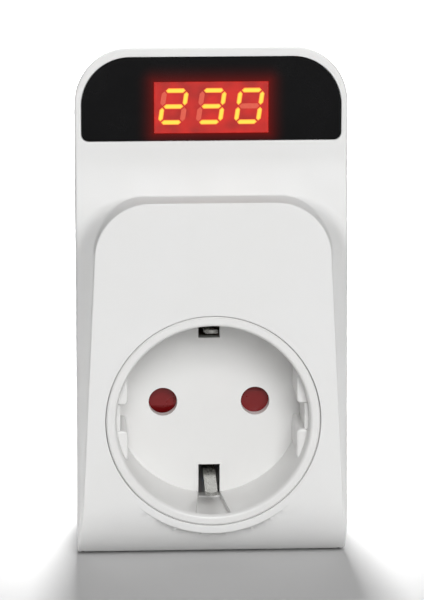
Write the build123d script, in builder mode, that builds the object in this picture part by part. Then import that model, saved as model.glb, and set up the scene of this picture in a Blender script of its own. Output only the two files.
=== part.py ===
"""Plug-in voltage monitor: a wall plug on the back, a socket outlet and a voltage display on the front.

Units are millimetres. The origin is on the common axis of the plug and the outlet, on the rear face
that rests against the wall socket. +X is right, +Y is towards the wall and +Z is up.
"""

from build123d import *
from math import cos, radians, sin, tan
import os

# ---------------------------------------------------------------- driving dimensions
# Housing, seen from the front
HALF_WIDTH = 27.4
TOP_Z = 75.0
BOTTOM_Z = -30.0
TOP_CORNER_RADIUS = 11.2
FOOT_CORNER_RADIUS = 1.2

# Housing, depths of its front surfaces and joints
FACE_Y = -44.0        # face of the raised pad round the outlet
RIM_Y = -43.2         # foot of the pad's low rim, and front of the skirt round it
PLATE_Y = -36.0       # flat plate round the display window
PARTING_Y = -20.0     # joint between the front and rear shells
REAR_Y = 0.0          # face that rests on the wall socket
PAD_ROLL_RADIUS = 13.5
ROLL_Y = FACE_Y + PAD_ROLL_RADIUS
SIDE_DRAFT = 4.0
TOP_SLOPE = 20.0
WALL = 2.2
RUNNING_GAP = 0.1

# Raised pad with an arched top and the bevelled skirt round it. Each arch is given by its
# half width at the top, its half width at ARCH_FOOT_Z, its top and its corner radius
ARCH_FOOT_Z = BOTTOM_Z - 3.0
FACE_ARCH = (23.15, 27.1, 44.8, 12.0)
ROOT_ARCH = (25.45, 29.4, 45.2, 12.2)
RIM_ARCH = (23.45, 27.4, 44.2, 12.2)
SKIRT_ARCH = (28.7, 32.65, 44.8, 12.0)
BEVEL_ANGLE = 54.0
SWEEP_TOP_Z = 53.0    # where the plate below the window starts to come forward
SWEEP_FOOT_Z = 40.0
SWEEP_REACH = 1.9

# Outlet on the front
SOCKET_HOLE_RADIUS = 21.75
SOCKET_SEAT_RADIUS = 23.4
SOCKET_SEAT_DEPTH = 5.0
INSERT_RADIUS = 21.6
RECESS_RADIUS = 19.5
RECESS_FLOOR_Y = -26.5
FLOOR_THICKNESS = 2.5
INSERT_BACK_Y = RECESS_FLOOR_Y + FLOOR_THICKNESS
PIN_HALF_SPACING = 9.5
PIN_HOLE_RADIUS = 2.95
GUIDE_FLAT_X = 17.1
GUIDE_HALF_HEIGHT = 9.0
GUIDE_GROOVE_HALF = 2.7
GUIDE_GROOVE_FLOOR_X = 18.7
GUIDE_FRONT_Y = FACE_Y + 3.8
EARTH_SLOT_HALF_WIDTH = 2.2
EARTH_SLOT_INNER = 13.4
EARTH_GROOVE_FLOOR = 20.4
EAR_OFFSET = 17.2
EAR_FLANGE_RADIUS = 22.6

# Plug on the back
SHROUD_RADIUS = 18.5
SHROUD_LENGTH = 17.0
PIN_RADIUS = 2.4
PIN_LENGTH = 19.0
SHROUD_CAVITY_RADIUS = 13.8
EARTH_STRIP_OUTER = 16.0
EARTH_STRIP_THICKNESS = 0.8
EARTH_STRIP_INNER = EARTH_STRIP_OUTER - EARTH_STRIP_THICKNESS

# Display
WINDOW_HALF_WIDTH = 26.0
WINDOW_BOTTOM_Z = 56.1
WINDOW_TOP_Z = 72.9
WINDOW_TOP_RADIUS = 9.8
WINDOW_FOOT_RADIUS = 1.5
WINDOW_THICKNESS = 1.2
LED_WIDTH = 22.8
LED_HEIGHT = 10.3
LED_DEPTH = 6.1
LED_CENTRE_Z = 62.75
LED_FACE_Y = PLATE_Y + 0.15
LED_BACK_Y = LED_FACE_Y + LED_DEPTH

# Circuit boards
BOARD_THICKNESS = 1.6
MAIN_BOARD_Y = -8.0
MAIN_BOARD_HALF_WIDTH = 19.5
MAIN_BOARD_BOTTOM_Z = 23.5
MAIN_BOARD_TOP_Z = 60.5

# Screws
HOUSING_SCREW_X = 20.6
HOUSING_SCREW_LOW_Z = -23.5
HOUSING_SCREW_HIGH_Z = 54.0
HOUSING_SCREW_SPOTS = [
    (side * HOUSING_SCREW_X, z) for side in (-1, 1) for z in (HOUSING_SCREW_LOW_Z, HOUSING_SCREW_HIGH_Z)
]
SCREW_HEAD_RADIUS = 2.6
SCREW_SHANK_RADIUS = 1.5
SCREW_SEAT_Y = -12.0
INSERT_SCREW_SPOTS = [(side * EAR_OFFSET, level * EAR_OFFSET) for side in (-1, 1) for level in (-1, 1)]

# A hinge pin, tube or disc made by Cylinder stands along Z; this turns it along Y
ALONG_Y = (90, 0, 0)


# ---------------------------------------------------------------- helpers
def facing_rear(y):
    """Plane across the object at depth y, facing the wall, with its second axis up."""
    return Plane(origin=(0, y, 0), x_dir=(-1, 0, 0), z_dir=(0, 1, 0))


def facing_front(y):
    """Plane across the object at depth y, facing the user, with +X to the right and +Z up."""
    return Plane(origin=(0, y, 0), x_dir=(1, 0, 0), z_dir=(0, -1, 0))


def rod(radius, start_y, end_y, mode=Mode.ADD):
    """Round bar along Y between two depths, at the current location in X and Z."""
    with Locations((0, (start_y + end_y) / 2, 0)):
        Cylinder(radius, end_y - start_y, rotation=ALONG_Y, mode=mode)


def block(x_range, y_range, z_range, mode=Mode.ADD):
    """Rectangular block between pairs of limits."""
    centre = tuple(sum(limits) / 2 for limits in (x_range, y_range, z_range))
    size = [max(limits) - min(limits) for limits in (x_range, y_range, z_range)]
    with Locations(centre):
        Box(*size, mode=mode)


def save(piece, name):
    """Label a finished piece and write it as one STEP file."""
    piece.label = name
    export_step(piece, f"parts/{name}.step")


# ---------------------------------------------------------------- housing shapes
def outline(y, inset, draft=0.0, top_drop=0.0):
    """Outline of the housing on the plane at depth y, shrunk by inset and narrowed by draft."""
    half_width = HALF_WIDTH - inset - draft
    top_z = TOP_Z - inset - top_drop
    bottom_z = BOTTOM_Z + inset + draft
    with BuildSketch(facing_rear(y)) as face:
        with Locations((0, (top_z + bottom_z) / 2)):
            Rectangle(2 * half_width, top_z - bottom_z)
        fillet(face.vertices().group_by(Axis.Y)[-1], TOP_CORNER_RADIUS - inset - draft)
        fillet(face.vertices().group_by(Axis.Y)[0], FOOT_CORNER_RADIUS)
    return face.sketch


def swept_body(inset):
    """Housing without the pad: drafted behind, the plate and the bevelled skirt at the front."""
    draft = (REAR_Y - ROLL_Y) * tan(radians(SIDE_DRAFT))
    slope = tan(radians(TOP_SLOPE))
    plate_y = PLATE_Y + inset
    rim = arch(RIM_Y + inset, *narrowed(RIM_ARCH, inset))
    foot = arch(plate_y, *narrowed(SKIRT_ARCH, inset))
    sections = [
        outline(plate_y, inset, 0.0, inset * slope),
        outline(ROLL_Y, inset, 0.0, (ROLL_Y - PLATE_Y) * slope),
        outline(REAR_Y, inset, draft, (REAR_Y - PLATE_Y) * slope),
    ]
    with BuildPart() as body:
        loft([rim, foot], ruled=True)
        extrude(outline(FACE_Y, inset), amount=plate_y - FACE_Y, mode=Mode.INTERSECT)
        extrude(sweep_profile(plate_y), amount=HALF_WIDTH - inset, both=True)
        loft(sections, ruled=True)
        profile = rolled_profile(RIM_Y + inset, BOTTOM_Z + inset, REAR_Y - inset)
        extrude(profile, amount=HALF_WIDTH + 5.0, both=True, mode=Mode.INTERSECT)
    return body.part


def sweep_profile(plate_y):
    """Side view of the wedge by which the plate comes forward towards the pad."""
    front_y = plate_y - SWEEP_REACH
    low_z = BOTTOM_Z + 2 * PAD_ROLL_RADIUS
    with BuildSketch(Plane.YZ) as profile:
        with BuildLine():
            Bezier(
                (plate_y, SWEEP_TOP_Z),
                (plate_y, SWEEP_TOP_Z - 4.5),
                (front_y, SWEEP_FOOT_Z + 5.5),
                (front_y, SWEEP_FOOT_Z),
            )
            Polyline(
                (front_y, SWEEP_FOOT_Z),
                (front_y, low_z),
                (plate_y + 1.0, low_z),
                (plate_y + 1.0, SWEEP_TOP_Z),
                (plate_y, SWEEP_TOP_Z),
            )
        make_face()
    return profile.sketch


def narrowed(arch_sizes, inset):
    """Sizes of an arch on the skirt's bevel after the bevel has moved in by inset."""
    step = inset * (1 - cos(radians(BEVEL_ANGLE))) / sin(radians(BEVEL_ANGLE))
    return [size - step for size in arch_sizes]


def arch(y, half_top, half_foot, top_z, corner_radius):
    """Arched outline of the pad on the plane at depth y, wider at its foot."""
    with BuildSketch(facing_rear(y)) as face:
        with BuildLine():
            Polyline(
                (-half_foot, ARCH_FOOT_Z),
                (half_foot, ARCH_FOOT_Z),
                (half_top, top_z),
                (-half_top, top_z),
                close=True,
            )
        make_face()
        fillet(face.vertices().group_by(Axis.Y)[-1], corner_radius)
    return face.sketch


def rolled_profile(front_y, bottom_z, back_y):
    """Side view of a block with a flat face, rolled under at the bottom."""
    with BuildSketch(Plane.YZ) as profile:
        with BuildLine():
            sole = Line((back_y, bottom_z), (ROLL_Y, bottom_z))
            roll = JernArc(sole @ 1, (-1, 0), ROLL_Y - front_y, -90)
            Polyline(roll @ 1, (front_y, TOP_Z), (back_y, TOP_Z), sole @ 0)
        make_face()
    return profile.sketch


def socket_pad():
    """Raised pad: an arched block with nearly upright walls, rolled under below."""
    with BuildPart() as pad:
        loft([arch(FACE_Y, *FACE_ARCH), arch(ROLL_Y, *ROOT_ARCH)], ruled=True)
        profile = rolled_profile(FACE_Y, BOTTOM_Z, ROLL_Y + 5.0)
        extrude(profile, amount=HALF_WIDTH + 5.0, both=True, mode=Mode.INTERSECT)
        extrude(outline(FACE_Y, 0.0), amount=ROLL_Y - FACE_Y, mode=Mode.INTERSECT)
    return pad.part


def pad_cavity():
    """Straight-sided space behind the pad's face, a little clear of the bottom of the main cavity."""
    half_top, half_foot, top_z, corner_radius = FACE_ARCH
    opening = arch(FACE_Y + WALL, half_top - WALL, half_foot - 2 * WALL, top_z - WALL, corner_radius - WALL)
    with BuildPart() as space:
        extrude(opening, amount=ROLL_Y - FACE_Y - 2 * WALL)
        clearance = WALL + 0.5
        profile = rolled_profile(FACE_Y + clearance, BOTTOM_Z + clearance, ROLL_Y + 5.0)
        extrude(profile, amount=HALF_WIDTH, both=True, mode=Mode.INTERSECT)
    return space.part


def half_space(start_y, end_y):
    """Slab across the whole housing between two depths."""
    with BuildPart() as slab:
        block((-60, 60), (start_y, end_y), (-60, 90))
    return slab.part


def window_outline(y, gap):
    """Arched outline of the display window on the plane at depth y, grown by gap."""
    with BuildSketch(facing_rear(y)) as face:
        with Locations((0, (WINDOW_TOP_Z + WINDOW_BOTTOM_Z) / 2)):
            Rectangle(2 * WINDOW_HALF_WIDTH, WINDOW_TOP_Z - WINDOW_BOTTOM_Z)
        fillet(face.vertices().group_by(Axis.Y)[-1], WINDOW_TOP_RADIUS)
        fillet(face.vertices().group_by(Axis.Y)[0], WINDOW_FOOT_RADIUS)
        if gap:
            offset(amount=gap, mode=Mode.REPLACE)
    return face.sketch


with BuildPart() as outer_block:
    add(swept_body(0.0))
    add(socket_pad())
outer = outer_block.part

with BuildPart() as cavity_block:
    add(swept_body(WALL))
    add(pad_cavity())
cavity = cavity_block.part

# ---------------------------------------------------------------- front shell
BOSS_RADIUS = 3.2
BOSS_FRONT_Y = -34.5
with BuildPart() as front_shell:
    add(outer)
    add(half_space(PARTING_Y, 5.0), mode=Mode.SUBTRACT)
    pad_rim = [
        edge
        for edge in front_shell.edges()
        if abs(edge.center().Y - FACE_Y) < 0.01 and edge.center().Z > BOTTOM_Z + PAD_ROLL_RADIUS + 0.1
    ]
    fillet(pad_rim, 0.4)
    add(cavity, mode=Mode.SUBTRACT)
    # bosses for the housing screws and posts for the insert's ears, joined to the walls round them
    for x, z in HOUSING_SCREW_SPOTS:
        block((x, x + x / abs(x) * 4.8), (BOSS_FRONT_Y, PARTING_Y), (z - 0.7, z + 0.7))
        with Locations((x, 0, z)):
            rod(BOSS_RADIUS, BOSS_FRONT_Y, PARTING_Y)
    for x, z in INSERT_SCREW_SPOTS:
        with Locations((x, 0, z)):
            rod(2.2, FACE_Y + WALL - 0.5, RECESS_FLOOR_Y)
    # seat ring round the outlet
    rod(SOCKET_SEAT_RADIUS, FACE_Y, FACE_Y + SOCKET_SEAT_DEPTH)
    rod(SOCKET_HOLE_RADIUS, FACE_Y - 1.0, FACE_Y + SOCKET_SEAT_DEPTH + 1.0, mode=Mode.SUBTRACT)
    for x, z in HOUSING_SCREW_SPOTS:
        with Locations((x, 0, z)):
            rod(SCREW_SHANK_RADIUS + 0.02, BOSS_FRONT_Y + 2.0, PARTING_Y, mode=Mode.SUBTRACT)
    for x, z in INSERT_SCREW_SPOTS:
        with Locations((x, 0, z)):
            rod(1.02, RECESS_FLOOR_Y - 10.0, RECESS_FLOOR_Y, mode=Mode.SUBTRACT)
    # shallow pocket for the window and an opening for the display behind it
    extrude(window_outline(PLATE_Y, RUNNING_GAP), amount=WINDOW_THICKNESS, mode=Mode.SUBTRACT)
    block(
        (-LED_WIDTH / 2 - 0.2, LED_WIDTH / 2 + 0.2),
        (PLATE_Y - 1.0, PLATE_Y + WALL + 1.0),
        (LED_CENTRE_Z - LED_HEIGHT / 2 - 0.2, LED_CENTRE_Z + LED_HEIGHT / 2 + 0.2),
        mode=Mode.SUBTRACT,
    )
save(front_shell.part, "front_shell")


# ---------------------------------------------------------------- display window and display
with BuildPart() as display_window:
    extrude(window_outline(PLATE_Y, 0.0), amount=WINDOW_THICKNESS)
    block(
        (-LED_WIDTH / 2 - 0.1, LED_WIDTH / 2 + 0.1),
        (PLATE_Y - 1.0, PLATE_Y + WINDOW_THICKNESS + 1.0),
        (LED_CENTRE_Z - LED_HEIGHT / 2 - 0.1, LED_CENTRE_Z + LED_HEIGHT / 2 + 0.1),
        mode=Mode.SUBTRACT,
    )
save(display_window.part, "display_window")

with BuildPart() as led_display:
    block(
        (-LED_WIDTH / 2, LED_WIDTH / 2),
        (LED_FACE_Y, LED_BACK_Y),
        (LED_CENTRE_Z - LED_HEIGHT / 2, LED_CENTRE_Z + LED_HEIGHT / 2),
    )
    with Locations((0, LED_BACK_Y + 1.0, LED_CENTRE_Z)):
        with GridLocations(2.54, 0, 6, 1):
            with Locations((0, 0, -4.0), (0, 0, 4.0)):
                Box(0.5, 2.0, 0.25)
save(led_display.part, "led_display")

DIGIT_CENTRE_Z = LED_CENTRE_Z + 0.25
DIGIT_HEIGHT = 7.4
DIGIT_WIDTH = 4.4
DIGIT_PITCH = 7.6
DIGIT_SLANT = 8.5
SEGMENT_WIDTH = 1.0
SEGMENT_GAP = 0.16
SEGMENT_THICKNESS = 0.1
READING = ("abged", "abgcd", "abcdef")
ALL_SEGMENTS = "abcdefg"


def segment_place(letter):
    """Centre and direction of one segment in its digit: (across, up, is it upright)."""
    half_width = DIGIT_WIDTH / 2
    quarter_height = (DIGIT_HEIGHT - SEGMENT_WIDTH) / 4
    places = {
        "a": (0, 2 * quarter_height, False),
        "b": (half_width, quarter_height, True),
        "c": (half_width, -quarter_height, True),
        "d": (0, -2 * quarter_height, False),
        "e": (-half_width, -quarter_height, True),
        "f": (-half_width, quarter_height, True),
        "g": (0, 0, False),
    }
    return places[letter]


def segment_outline(letter, digit_x):
    """Corner points of one pointed segment bar, slanted with its digit."""
    across, up, upright = segment_place(letter)
    half_length = DIGIT_WIDTH / 2 if not upright else (DIGIT_HEIGHT - SEGMENT_WIDTH) / 4
    half_length -= SEGMENT_GAP
    tip = SEGMENT_WIDTH / 2
    along = [
        (-half_length, 0),
        (-half_length + tip, tip),
        (half_length - tip, tip),
        (half_length, 0),
        (half_length - tip, -tip),
        (-half_length + tip, -tip),
    ]
    if upright:
        corners = [(across + side, up + length) for length, side in along]
    else:
        corners = [(across + length, up + side) for length, side in along]
    lean = tan(radians(DIGIT_SLANT))
    return [(digit_x + x + z * lean, DIGIT_CENTRE_Z + z) for x, z in corners]


def segments(letters_by_digit):
    """Thin raised bars on the display's face for the given segments of each digit."""
    with BuildPart() as bars:
        with BuildSketch(facing_front(LED_FACE_Y)):
            for number, letters in enumerate(letters_by_digit):
                for letter in letters:
                    with BuildLine():
                        Polyline(*segment_outline(letter, (number - 1) * DIGIT_PITCH), close=True)
                    make_face()
        extrude(amount=SEGMENT_THICKNESS)
    return bars.part


save(segments(READING), "lit_segments")
unlit = ["".join(letter for letter in ALL_SEGMENTS if letter not in digit) for digit in READING]
save(segments(unlit), "unlit_segments")

DISPLAY_BOARD_BOTTOM_Z = 54.5
DISPLAY_BOARD_TOP_Z = 69.5
DISPLAY_BOARD_BACK_Y = LED_BACK_Y + BOARD_THICKNESS
HEADER_Z = 56.5
HEADER_PINS = 6
with BuildPart() as display_board:
    block((-16.5, 16.5), (LED_BACK_Y, DISPLAY_BOARD_BACK_Y), (DISPLAY_BOARD_BOTTOM_Z, DISPLAY_BOARD_TOP_Z))
    with Locations((0, LED_BACK_Y, LED_CENTRE_Z)):
        with GridLocations(2.54, 0, 6, 1):
            with Locations((0, 0, -4.0), (0, 0, 4.0)):
                Box(0.6, 10.0, 0.35, mode=Mode.SUBTRACT)
    with Locations((0, LED_BACK_Y, HEADER_Z)):
        with GridLocations(2.54, 0, HEADER_PINS, 1):
            Box(0.7, 10.0, 0.7, mode=Mode.SUBTRACT)
save(display_board.part, "display_board")

with BuildPart() as microcontroller:
    block(
        (-5, 5),
        (DISPLAY_BOARD_BACK_Y + 0.15, DISPLAY_BOARD_BACK_Y + 1.9),
        (LED_CENTRE_Z - 2.7, LED_CENTRE_Z + 2.7),
    )
    for side in (-1, 1):
        with Locations((0, DISPLAY_BOARD_BACK_Y + 0.3, LED_CENTRE_Z + side * 3.2)):
            with GridLocations(1.27, 0, 7, 1):
                Box(0.4, 0.6, 1.2)
save(microcontroller.part, "microcontroller")

# ---------------------------------------------------------------- main board and its parts
with BuildPart() as main_board:
    block(
        (-MAIN_BOARD_HALF_WIDTH, MAIN_BOARD_HALF_WIDTH),
        (MAIN_BOARD_Y, MAIN_BOARD_Y + BOARD_THICKNESS),
        (MAIN_BOARD_BOTTOM_Z, MAIN_BOARD_TOP_Z),
    )
    for side in (-1, 1):
        with Locations((side * HOUSING_SCREW_X, 0, HOUSING_SCREW_HIGH_Z)):
            rod(4.6, MAIN_BOARD_Y - 1.0, MAIN_BOARD_Y + 3.0, mode=Mode.SUBTRACT)
    with Locations((0, MAIN_BOARD_Y, HEADER_Z)):
        with GridLocations(2.54, 0, HEADER_PINS, 1):
            Box(0.7, 10.0, 0.7, mode=Mode.SUBTRACT)
save(main_board.part, "main_board")

with BuildPart() as board_header:
    block((-7.7, 7.7), (MAIN_BOARD_Y - 2.5, MAIN_BOARD_Y), (HEADER_Z - 1.25, HEADER_Z + 1.25))
    with Locations((0, (DISPLAY_BOARD_BACK_Y + MAIN_BOARD_Y) / 2 - 0.4, HEADER_Z)):
        with GridLocations(2.54, 0, HEADER_PINS, 1):
            Box(0.64, MAIN_BOARD_Y - DISPLAY_BOARD_BACK_Y + 4.0, 0.64)
save(board_header.part, "board_header")

RELAY_X = -7.0
RELAY_Z = 35.0
RELAY_HALF = (9.5, 7.75)
RELAY_FRONT_Y = -23.0
RELAY_BASE_Y = MAIN_BOARD_Y - 1.6
with BuildPart() as relay_base:
    block(
        (RELAY_X - RELAY_HALF[0], RELAY_X + RELAY_HALF[0]),
        (RELAY_BASE_Y, MAIN_BOARD_Y),
        (RELAY_Z - RELAY_HALF[1], RELAY_Z + RELAY_HALF[1]),
    )
save(relay_base.part, "relay_base")

with BuildPart() as relay_cover:
    block(
        (RELAY_X - RELAY_HALF[0], RELAY_X + RELAY_HALF[0]),
        (RELAY_FRONT_Y, RELAY_BASE_Y),
        (RELAY_Z - RELAY_HALF[1], RELAY_Z + RELAY_HALF[1]),
    )
    fillet(relay_cover.edges().filter_by(Axis.Y), 0.8)
    fillet(relay_cover.faces().sort_by(Axis.Y)[0].edges(), 0.6)
    block(
        (RELAY_X - RELAY_HALF[0] + 0.8, RELAY_X + RELAY_HALF[0] - 0.8),
        (RELAY_FRONT_Y + 0.8, RELAY_BASE_Y + 1.0),
        (RELAY_Z - RELAY_HALF[1] + 0.8, RELAY_Z + RELAY_HALF[1] - 0.8),
        mode=Mode.SUBTRACT,
    )
save(relay_cover.part, "relay_cover")

COIL_X = -10.2
YOKE_X = -3.6
ARMATURE_HINGE_Y = -21.0
with BuildPart() as relay_coil:
    with Locations((COIL_X, 0, RELAY_Z)):
        rod(5.0, -20.2, -19.4)
        rod(4.4, -19.4, -11.4)
        rod(5.0, -11.4, -10.6)
        rod(1.85, -21.0, -10.0, mode=Mode.SUBTRACT)
save(relay_coil.part, "relay_coil")

with BuildPart() as relay_yoke:
    with Locations((COIL_X, 0, RELAY_Z)):
        rod(1.8, -20.8, -10.0)
    block((COIL_X - 3.0, YOKE_X + 1.0), (-10.3, RELAY_BASE_Y), (RELAY_Z - 4.5, RELAY_Z + 4.5))
    block((YOKE_X, YOKE_X + 1.0), (-20.6, RELAY_BASE_Y), (RELAY_Z - 4.5, RELAY_Z + 4.5))
save(relay_yoke.part, "relay_yoke")

with BuildPart() as relay_armature:
    block((COIL_X - 3.0, YOKE_X + 1.6), (-21.95, -21.15), (RELAY_Z - 4.0, RELAY_Z + 4.0))
    block((YOKE_X + 1.4, YOKE_X + 1.6), (-21.95, -12.0), (RELAY_Z - 2.0, RELAY_Z + 2.0))
    with Locations((YOKE_X + 1.85, -12.8, RELAY_Z)):
        Cylinder(1.2, 0.5, rotation=(0, 90, 0))
save(relay_armature.part, "relay_armature")

with BuildPart() as relay_fixed_contact:
    block((0.4, 0.9), (-14.5, RELAY_BASE_Y), (RELAY_Z - 2.0, RELAY_Z + 2.0))
    with Locations((-0.3, -12.8, RELAY_Z)):
        Cylinder(1.2, 1.4, rotation=(0, 90, 0))
save(relay_fixed_contact.part, "relay_fixed_contact")

with BuildPart() as x2_capacitor:
    block((4.2, 19.2), (MAIN_BOARD_Y - 13.0, MAIN_BOARD_Y), (38.6, 46.0))
    fillet(x2_capacitor.edges().filter_by(Axis.Y), 0.6)
save(x2_capacitor.part, "x2_capacitor")

with BuildPart() as electrolytic_capacitor:
    with Locations((-13.0, 0, 49.6)):
        rod(4.0, MAIN_BOARD_Y - 12.0, MAIN_BOARD_Y - 0.3)
        with Locations((-1.0, MAIN_BOARD_Y - 0.2, 0), (1.0, MAIN_BOARD_Y - 0.2, 0)):
            Box(0.6, 0.4, 0.6)
    fillet(electrolytic_capacitor.faces().sort_by(Axis.Y)[0].edges(), 0.6)
save(electrolytic_capacitor.part, "electrolytic_capacitor")

with BuildPart() as varistor:
    with Locations((11.7, MAIN_BOARD_Y - 6.6, 33.0)):
        Cylinder(5.0, 4.0)
    fillet(varistor.edges(), 0.9)
    with Locations((9.2, MAIN_BOARD_Y - 1.2, 33.0), (14.2, MAIN_BOARD_Y - 1.2, 33.0)):
        Box(0.7, 2.4, 0.7)
save(varistor.part, "varistor")

with BuildPart() as dropper_resistors:
    for x in (-2.0, 3.0):
        with Locations((x, MAIN_BOARD_Y - 1.6, 49.5)):
            Cylinder(1.3, 6.5)
            Cylinder(0.3, 9.0)
        with Locations((x, MAIN_BOARD_Y - 0.8, 45.3), (x, MAIN_BOARD_Y - 0.8, 53.7)):
            Box(0.6, 1.6, 0.6)
save(dropper_resistors.part, "dropper_resistors")

with BuildPart() as rectifier:
    block((8.0, 14.5), (MAIN_BOARD_Y - 3.0, MAIN_BOARD_Y - 0.4), (48.4, 53.2))
    with Locations((11.25, MAIN_BOARD_Y - 0.4, 50.8)):
        with GridLocations(5.0, 0, 2, 1):
            with Locations((0, 0, -2.9), (0, 0, 2.9)):
                Box(1.0, 0.8, 1.0)
save(rectifier.part, "rectifier")

# ---------------------------------------------------------------- outlet insert
# guide blocks left and right, each split by a groove, with rounded edges towards the recess
with BuildPart() as guide_blocks:
    for side in (-1, 1):
        for level in (-1, 1):
            block(
                (side * GUIDE_FLAT_X, side * INSERT_RADIUS),
                (GUIDE_FRONT_Y, RECESS_FLOOR_Y + 0.5),
                (level * GUIDE_GROOVE_HALF, level * GUIDE_HALF_HEIGHT),
            )
    inner_edges = [
        edge for edge in guide_blocks.edges().filter_by(Axis.Y) if abs(edge.center().X) < GUIDE_FLAT_X + 0.1
    ]
    fillet(inner_edges, 0.9)
    fillet(guide_blocks.faces().filter_by(Axis.Y).group_by(Axis.Y)[0].edges(), 0.5)
    for side in (-1, 1):
        block(
            (side * GUIDE_GROOVE_FLOOR_X, side * INSERT_RADIUS),
            (GUIDE_FRONT_Y, RECESS_FLOOR_Y + 0.5),
            (-GUIDE_GROOVE_HALF, GUIDE_GROOVE_HALF),
        )
    rod(RECESS_RADIUS + 0.8, FACE_Y, RECESS_FLOOR_Y + 1.0, mode=Mode.INTERSECT)

with BuildPart() as socket_insert:
    with BuildSketch(Plane.XY):
        with BuildLine():
            floor_line = Line((0, RECESS_FLOOR_Y), (RECESS_RADIUS - 0.2, RECESS_FLOOR_Y))
            wall_line = Line(floor_line @ 1, (RECESS_RADIUS, FACE_Y + 1.6))
            lip = Bezier(wall_line @ 1, (RECESS_RADIUS, FACE_Y), (RECESS_RADIUS + 0.8, FACE_Y))
            Polyline(
                lip @ 1,
                (INSERT_RADIUS - 0.3, FACE_Y),
                (INSERT_RADIUS, FACE_Y + 0.3),
                (INSERT_RADIUS, FACE_Y + 7.0),
                (INSERT_RADIUS - 0.5, FACE_Y + 7.5),
                (INSERT_RADIUS - 0.5, INSERT_BACK_Y),
                (0, INSERT_BACK_Y),
                floor_line @ 0,
            )
        make_face()
    revolve(axis=Axis.Y)
    # flange and ears for the screws into the front shell
    rod(EAR_FLANGE_RADIUS, RECESS_FLOOR_Y + 0.05, INSERT_BACK_Y)
    for x, z in INSERT_SCREW_SPOTS:
        with Locations((x, 0, z)):
            rod(3.0, RECESS_FLOOR_Y + 0.05, INSERT_BACK_Y)
    add(guide_blocks.part)
    # earth clip grooves in the wall, wider at the mouth, and slots through the floor
    for level in (-1, 1):
        with BuildSketch(Plane.XY.offset(level * EARTH_GROOVE_FLOOR)):
            with BuildLine():
                Polyline(
                    (-EARTH_SLOT_HALF_WIDTH, RECESS_FLOOR_Y),
                    (-3.6, FACE_Y + 0.9),
                    (3.6, FACE_Y + 0.9),
                    (EARTH_SLOT_HALF_WIDTH, RECESS_FLOOR_Y),
                    close=True,
                )
            make_face()
        extrude(amount=-level * (EARTH_GROOVE_FLOOR - EARTH_SLOT_INNER), mode=Mode.SUBTRACT)
        block(
            (-EARTH_SLOT_HALF_WIDTH, EARTH_SLOT_HALF_WIDTH),
            (RECESS_FLOOR_Y - 0.5, INSERT_BACK_Y + 1.0),
            (level * EARTH_SLOT_INNER, level * (EARTH_GROOVE_FLOOR - 0.3)),
            mode=Mode.SUBTRACT,
        )
    for side in (-1, 1):
        with Locations((side * PIN_HALF_SPACING, 0, 0)):
            rod(PIN_HOLE_RADIUS, RECESS_FLOOR_Y - 1.0, INSERT_BACK_Y + 1.0, mode=Mode.SUBTRACT)
    for x, z in INSERT_SCREW_SPOTS:
        with Locations((x, 0, z)):
            rod(1.15, RECESS_FLOOR_Y - 1.0, INSERT_BACK_Y + 1.0, mode=Mode.SUBTRACT)
save(socket_insert.part, "socket_insert")

with BuildPart() as insert_screws:
    for x, z in INSERT_SCREW_SPOTS:
        with Locations((x, 0, z)):
            rod(1.0, RECESS_FLOOR_Y - 8.0, INSERT_BACK_Y)
            rod(1.9, INSERT_BACK_Y, INSERT_BACK_Y + 1.3)
            with Locations((0, INSERT_BACK_Y + 1.1, 0)):
                Box(2.4, 0.6, 0.5, mode=Mode.SUBTRACT)
                Box(0.5, 0.6, 2.4, mode=Mode.SUBTRACT)
save(insert_screws.part, "insert_screws")

# ---------------------------------------------------------------- shutter
SHUTTER_FRONT_Y = INSERT_BACK_Y + 0.2
SHUTTER_BACK_Y = SHUTTER_FRONT_Y + 2.2
SHUTTER_ARM_LENGTH = 13.4
SHUTTER_ARM_HALF_WIDTH = 3.7
HUB_RADIUS = 3.0
POST_RADIUS = 2.0
with BuildPart() as shutter:
    block(
        (-SHUTTER_ARM_LENGTH, SHUTTER_ARM_LENGTH),
        (SHUTTER_FRONT_Y, SHUTTER_BACK_Y),
        (-SHUTTER_ARM_HALF_WIDTH, SHUTTER_ARM_HALF_WIDTH),
    )
    fillet(shutter.edges().filter_by(Axis.Y), 2.6)
    rod(HUB_RADIUS, SHUTTER_FRONT_Y, -20.5)
    # sloping ramp on each arm, so that two pins pushed in together turn the shutter aside
    for side in (-1, 1):
        with BuildSketch(Plane.YZ.offset(side * (PIN_HALF_SPACING - 3.2))):
            with BuildLine():
                Polyline(
                    (SHUTTER_FRONT_Y - 0.5, side * 0.4),
                    (SHUTTER_FRONT_Y - 0.5, side * 4.5),
                    (SHUTTER_FRONT_Y + 1.5, side * 4.5),
                    close=True,
                )
            make_face()
        extrude(amount=side * 6.4, mode=Mode.SUBTRACT)
    rod(POST_RADIUS + RUNNING_GAP / 2, SHUTTER_FRONT_Y - 1.0, -20.0, mode=Mode.SUBTRACT)
save(shutter.part, "shutter")

SPRING_RADIUS = 3.7
SPRING_WIRE_RADIUS = 0.2
SPRING_PITCH = 0.5
SPRING_HEIGHT = 0.75
SPRING_START_Y = SHUTTER_BACK_Y + 0.3
with BuildPart() as shutter_spring:
    with BuildLine():
        coil = Helix(
            SPRING_PITCH,
            SPRING_HEIGHT,
            SPRING_RADIUS,
            center=(0, SPRING_START_Y, 0),
            direction=(0, 1, 0),
        )
    with BuildSketch(Plane(origin=coil @ 0, z_dir=coil % 0)):
        Circle(SPRING_WIRE_RADIUS)
    sweep(path=coil)
save(shutter_spring.part, "shutter_spring")

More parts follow.
